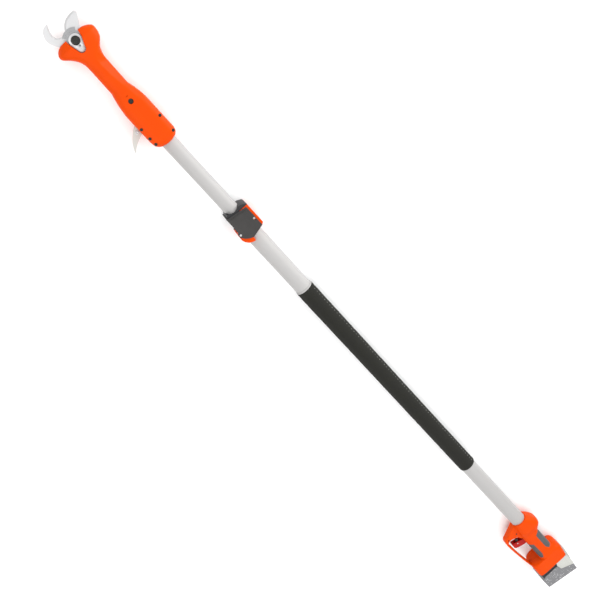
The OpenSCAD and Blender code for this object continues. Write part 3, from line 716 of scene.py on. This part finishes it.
def foam_nubs():
    """Two rows of small worn nubs along the foam, on the side away from the trigger."""
    x0, x1, outer = round_size("foam_grip")
    points, faces = [], []
    for turn, start in NUB_ROWS:
        for x in np.arange(x0 + start, x1 - 6, NUB_PITCH):
            base = len(points)
            for radius, rise in NUB_RINGS:
                for around in np.linspace(0, math.tau, NUB_SIDES, endpoint=False):
                    angle = math.radians(turn) + radius * math.sin(around) / outer
                    reach = outer + rise
                    along = x + 1.3 * radius * math.cos(around)
                    points.append((along, reach * math.cos(angle), reach * math.sin(angle)))
            faces += [tuple(base + i for i in f) for f in grid_faces(len(NUB_RINGS), NUB_SIDES)]
            ends = (range(base, base + NUB_SIDES), range(len(points) - NUB_SIDES, len(points)))
            faces += [tuple(end) for end in ends]
    nubs = mesh_object("foam_nubs", points, faces, PIVOT)
    place(nubs, "foam_nubs", "lower_pole", "foam", "foam_grip")
    nubs.data.materials[0] = MATERIALS["worn_foam"]


foam_nubs()


# ---- Parts that keep their CAD shape, with rounded edges --------------------------------
def soften(cad_node, name, body, width, segments=3):
    """The CAD node's own shape with its edges rounded, as a moulded or ground part has."""
    form = bmesh.new()
    form.from_mesh(frame["nodes"][cad_node].data)
    bmesh.ops.remove_doubles(form, verts=form.verts, dist=MERGE)
    bmesh.ops.dissolve_limit(form, angle_limit=FLAT, verts=form.verts, edges=form.edges)
    mesh = bpy.data.meshes.new(name)
    form.to_mesh(mesh)
    form.free()
    obj = bpy.data.objects.new(name, mesh)
    bpy.context.scene.collection.objects.link(obj)
    bevel(obj, width, segments, angle=38)
    return place(obj, name, body, SLOT_OF[cad_node], cad_node)


SOFTENED = [
    ("lower_tube", "outer_pole", "lower_pole", 0.3),
    ("clamp_collar", "clamp_front_collar", "lower_pole", 0.8),
    ("clamp_body", "clamp_housing", "lower_pole", 0.9),
    ("trigger", "finger_trigger", "trigger_body", 0.8),
    ("safety_catch", "trigger_safety", "safety", 0.5),
    ("battery_panel", "battery_cover_panel", "battery", 0.5),
    ("battery_seal", "battery_joint_seal", "battery", 0.5),
    ("battery_latch", "battery_release", "latch", 0.5),
    ("battery_case", "battery_inner_case", "battery", 0.8),
    ("lock_plate", "nut_lock_plate", "upper_pole", 0.35),
    ("pivot_bolt", "blade_pivot_bolt", "upper_pole", 0.3),
    ("head_case", "gear_frame", "upper_pole", 0.4),
    ("branch_hook", "pull_hook", "upper_pole", 0.6),
    ("body_screw", "long_body_screw", "upper_pole", 0.3),
    ("hook_screw", "pull_hook_screw", "upper_pole", 0.25),
    ("shell_screws", "head_casing_screws", "upper_pole", 0.25),
    ("handle_screws", "handle_casing_screws", "lower_pole", 0.25),
]
for cad_node, name, body, width in SOFTENED:
    soften(cad_node, name, body, width)


# ---- Battery cap, lever and nut ---------------------------------------------------------
def battery_end_cap():
    """End cap of the battery, with square corners kept inside the latch pocket."""
    cap = soften("battery_cap", "battery_end_cap", "battery", 1.2)
    combine(cap, [block((15, 45.4, -9.3), (27, 60, 9.3), REAR)])
    smooth(cap)


battery_end_cap()


def grooved_lever():
    """Short grip grooves across both cheeks of the lever."""
    lever = soften("clamp_lever", "locking_lever", "lever", 0.7)
    length, lean, width, pitch = 3.6, 0.6, 1.2, 2.4
    tools = []
    for y in np.arange(-18, 15, pitch):
        x = -18.6 + 0.16 * (y + 20)
        outline = [(x, y), (x + length, y + lean), (x + length, y + lean + width), (x, y + width)]
        for side in (1, -1):
            low, high = sorted((side * 24.2, side * 26))
            tools.append(prism(outline, low, high, CLAMP))
    combine(lever, tools)
    smooth(lever)


grooved_lever()


def round_nut():
    """Round nut with a rim, a sunk floor and a round key hole, as rings of (Z, radius)."""
    rings = [(13.6, 7.4), (18.4, 7.4), (19.0, 7.1), (19.2, 6.7), (19.2, 5.9), (18.9, 5.6), (18.45, 5.5)]
    rings += [(18.4, 3.3), (18.2, 3.0), (18.1, 2.2), (16.4, 2.1), (16.4, 0.05), (13.6, 0.05)]
    points, count = [], 96
    for z, radius in rings:
        points += [(x, y, z) for x, y in circle((0, 0), radius, count)]
    nut = mesh_object("nut", points, grid_faces(len(rings), count, True), PIVOT)
    place(nut, "round_pivot_nut", "upper_pole", "dark_steel", "pivot_nut")


round_nut()


# ---- Blades: X and Y from the blade pivot ------------------------------------------------
BOLT_HOLE = 8.1
HUB_RADIUS = 11
KEEN = 0.25  # height at which the ground bevel starts, above the underside
CHAMFER = 0.3  # bevel of the edges that aren't ground


def ground_plate(name, outline, sharp, taper, low, high):
    """Plate whose top edge is drawn in by taper at the outline points in sharp."""
    area = sum(outline[i - 1][0] * y - x * outline[i - 1][1] for i, (x, y) in enumerate(outline))
    turn = math.copysign(1, area)
    inner = []
    for i, (x, y) in enumerate(outline):
        ahead = Vector(outline[(i + 1) % len(outline)])
        behind = Vector(outline[i - 1])
        along = (ahead - behind).normalized()
        amount = taper(i) * turn if i in sharp else 0.0
        inner.append((x - along.y * amount, y + along.x * amount))
    middle = [low + KEEN if i in sharp else high - CHAMFER for i in range(len(outline))]
    rings = [
        [(x, y, low) for x, y in outline],
        [(x, y, z) for (x, y), z in zip(outline, middle)],
        [(x, y, high) for x, y in inner],
    ]
    plate = loft(rings, PIVOT, name)
    return combine(plate, [post((0, 0), BOLT_HOLE, -20, 20, PIVOT)])


def bearing(point):
    """Direction of a point from the blade pivot, in degrees from 0 to 360."""
    return math.degrees(math.atan2(point[1], point[0]) % math.tau)


def moving_blade():
    """Cutting blade with a wide bevel along its curved edge and a round hub."""
    edge = curve((7, 8), (35, 1.5), (34.8, -24.8), 24)
    edge += curve((34.6, -27.5), (34.3, -31.6), (29.7, -31.2), 6)
    spine = curve((29.7, -31.2), (20, -26.5), (-2, -10.5), 20)
    hub = [p for p in circle((0, 0), HUB_RADIUS) if p[0] < 6.5 and 52 < bearing(p) < 262]
    outline = edge[::-1] + sorted(hub, key=bearing) + spine[::-1][1:-1]
    bevel_width = 3.2

    def taper(i):
        from_tip = math.sin(math.pi * min(1.0, (i + 1) / 10) / 2)
        return bevel_width * from_tip * min(1.0, (len(edge) - i) / 8)

    blade = ground_plate("blade", outline, range(len(edge)), taper, 0.15, 3.65)
    place(blade, "ground_cutting_blade", "moving_blade", "steel", "cutting_blade", angle=KEEN_CRISP)


moving_blade()


def blade_root():
    """Gear disc of the blade with its stepped root, softened as machined."""
    soften("blade_gear", "stepped_gear_hub", "moving_blade", 0.25, 2)


blade_root()


def fixed_hook():
    """Hook blade with a narrow bevel along the inside of its curve."""
    outer = curve((45.4, 21), (44, 30.5), (32, 34.4), 14)
    outer += curve((32, 34.4), (22, 37), (4, 23.5), 14)[1:]
    root = [(-9, 20), (-11.5, 14), (-11.6, 4), (-11.6, -3), (-9, -8)]
    root += [(-3, -11.6), (2, -11.8), (8, -9), (14, -6)]
    inner = curve((18.5, -1), (15, 11.5), (21.2, 19.7), 16)
    inner += curve((21.2, 19.7), (29, 26), (46, 15.5), 18)[1:]
    outline = outer + root + inner
    first = len(outer) + len(root)
    bevel_width = 2.0

    def taper(i):
        return bevel_width * min(1.0, (i - first + 1) / 5) * min(1.0, (len(outline) - i) / 6)

    hook = ground_plate("hook", outline, range(first, len(outline)), taper, -4, 0)
    place(hook, "ground_hook_blade", "upper_pole", "steel", "hook_blade", angle=KEEN_CRISP)


fixed_hook()


# ---- Floor, light and camera ------------------------------------------------------------
LIGHTS = {  # place, what it faces, size in metres and power in watts
    "key": ((0.4, 1.5, 2.6), (0.1, 0, 0), 3.0, 34),
    "fill": ((0.9, -1.5, 2.5), (0.3, 0, 0), 2.4, 12),
    "side": ((0.5, -2.3, 0.9), (0.3, 0, 0), 1.6, 48),
    "rear": ((-1.8, 0.3, 2.0), (-0.4, 0, 0), 2.4, 12),
}
WORLD_STRENGTH = 1.05
CAMERA_AT = (0.7202, -0.0252, 1.4543)
CAMERA_TURN = (-17.446, -13.704, -130.637)
FLOOR_HALF = 6.0


def pale_material(name, colour):
    """Matt floor with faint drifts of shade."""
    mat, tree, shader, coords = start_material(name, colour, 0.75)
    drift = noise(tree, coords, 3.0, detail=3.0)
    tree.links.new(clouded(tree, drift, colour, 0.985, 1), shader.inputs["Base Color"])
    bumped(tree, shader, noise(tree, coords, 300.0), 0.02, 0.2 * MM)
    return mat


def floor():
    corners = [(-1, -1), (1, -1), (1, 1), (-1, 1)]
    mesh = bpy.data.meshes.new("floor")
    mesh.from_pydata([(x * FLOOR_HALF, y * FLOOR_HALF, 0) for x, y in corners], [], [(0, 1, 2, 3)])
    obj = bpy.data.objects.new("floor", mesh)
    obj.data.materials.append(pale_material("pale_floor", (0.95, 0.95, 0.95)))
    bpy.context.scene.collection.objects.link(obj)


def area_light(name, at, towards, size, power):
    data = bpy.data.lights.new(name, "AREA")
    data.shape = "DISK"
    data.size = size
    data.energy = power
    obj = bpy.data.objects.new(name, data)
    obj.location = at
    obj.rotation_euler = (Vector(towards) - Vector(at)).to_track_quat("-Z", "Y").to_euler()
    bpy.context.scene.collection.objects.link(obj)


def studio():
    """Pale surroundings, a little darker on the -Y side, and four large soft lights."""
    world = bpy.data.worlds.new("studio")
    world.use_nodes = True
    tree = world.node_tree
    background = tree.nodes["Background"]
    background.inputs["Strength"].default_value = WORLD_STRENGTH
    direction = node(tree, "ShaderNodeSeparateXYZ")
    tree.links.new(node(tree, "ShaderNodeTexCoord").outputs["Generated"], direction.inputs["Vector"])
    side = ranged(tree, direction.outputs["Y"], 0, 1, start=-0.75, end=0.35)
    tree.links.new(mixed(tree, side, (0.72, 0.72, 0.72), (1.0, 1.0, 1.0)), background.inputs["Color"])
    bpy.context.scene.world = world
    bpy.context.scene.view_settings.view_transform = "Standard"
    for name, values in LIGHTS.items():
        area_light(name, *values)


def camera():
    data = bpy.data.cameras.new("camera")
    data.lens = 50
    data.sensor_width = 36
    data.clip_start = 0.01
    obj = bpy.data.objects.new("camera", data)
    obj.location = CAMERA_AT
    obj.rotation_euler = [math.radians(a) for a in CAMERA_TURN]
    bpy.context.scene.collection.objects.link(obj)
    bpy.context.scene.camera = obj


floor()
studio()
camera()
